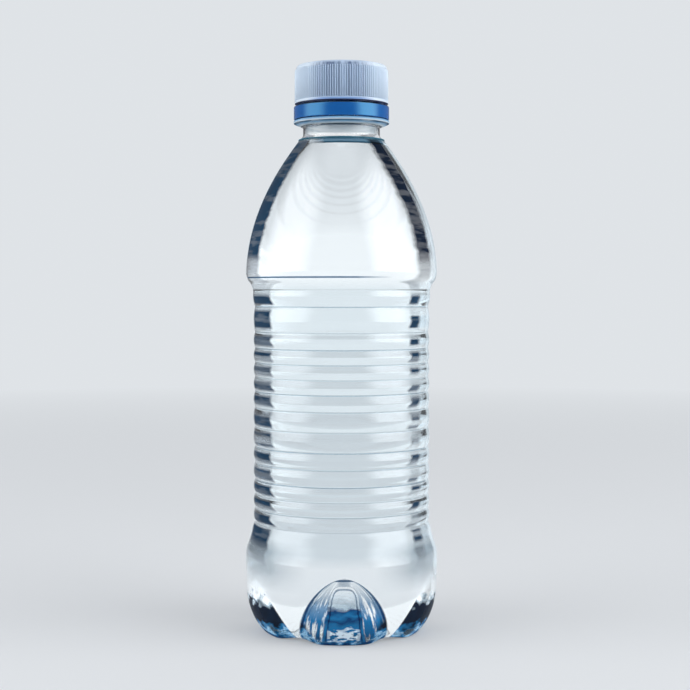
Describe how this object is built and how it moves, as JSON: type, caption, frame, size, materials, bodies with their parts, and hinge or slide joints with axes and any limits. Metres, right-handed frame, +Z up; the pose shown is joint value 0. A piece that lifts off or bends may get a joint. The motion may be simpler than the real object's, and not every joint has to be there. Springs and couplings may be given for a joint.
{
  "type": "water bottle",
  "caption": "Clear plastic water bottle, full and closed, with a ringed waist, a footed base, a ribbed screw cap and a blue tamper band.",
  "frame": {"origin": "on the bottle's axis, at the level of the surface that its feet stand on", "axes": "+Z up along the bottle's axis towards the cap, -Y towards the foot that faces the viewer, +X to the viewer's right"},
  "size_m": [0.0656, 0.0656, 0.1936],
  "materials": {
    "clear_pet": "clear blown PET, glossy, water-clear",
    "water": "clear still water",
    "cap_plastic": "pale grey-blue moulded polyethylene, satin, with fine ribs",
    "band_plastic": "saturated blue moulded polyethylene, semi-gloss",
    "liner_foam": "off-white seal disc, matt"
  },
  "bodies": {
    "vessel": {"bottle": "clear_pet", "water": "water", "tamper_band": "band_plastic"},
    "seal": {"liner": "liner_foam"},
    "closure": {"cap": "cap_plastic"}
  },
  "joints": [
    {"name": "cap_lift", "type": "slide", "parent": "vessel", "child": "seal", "axis": [0, 0, 1], "range_m": [0, 0.0118]},
    {"name": "cap_turn", "type": "hinge", "parent": "seal", "child": "closure", "pos_m": [0, 0, 0.18], "axis": [0, 0, 1], "range_deg": [0, 468]}
  ],
  "couplings": [
    {"joint": "cap_lift", "follows": "cap_turn", "m_per_rad": 0.0014324}
  ]
}
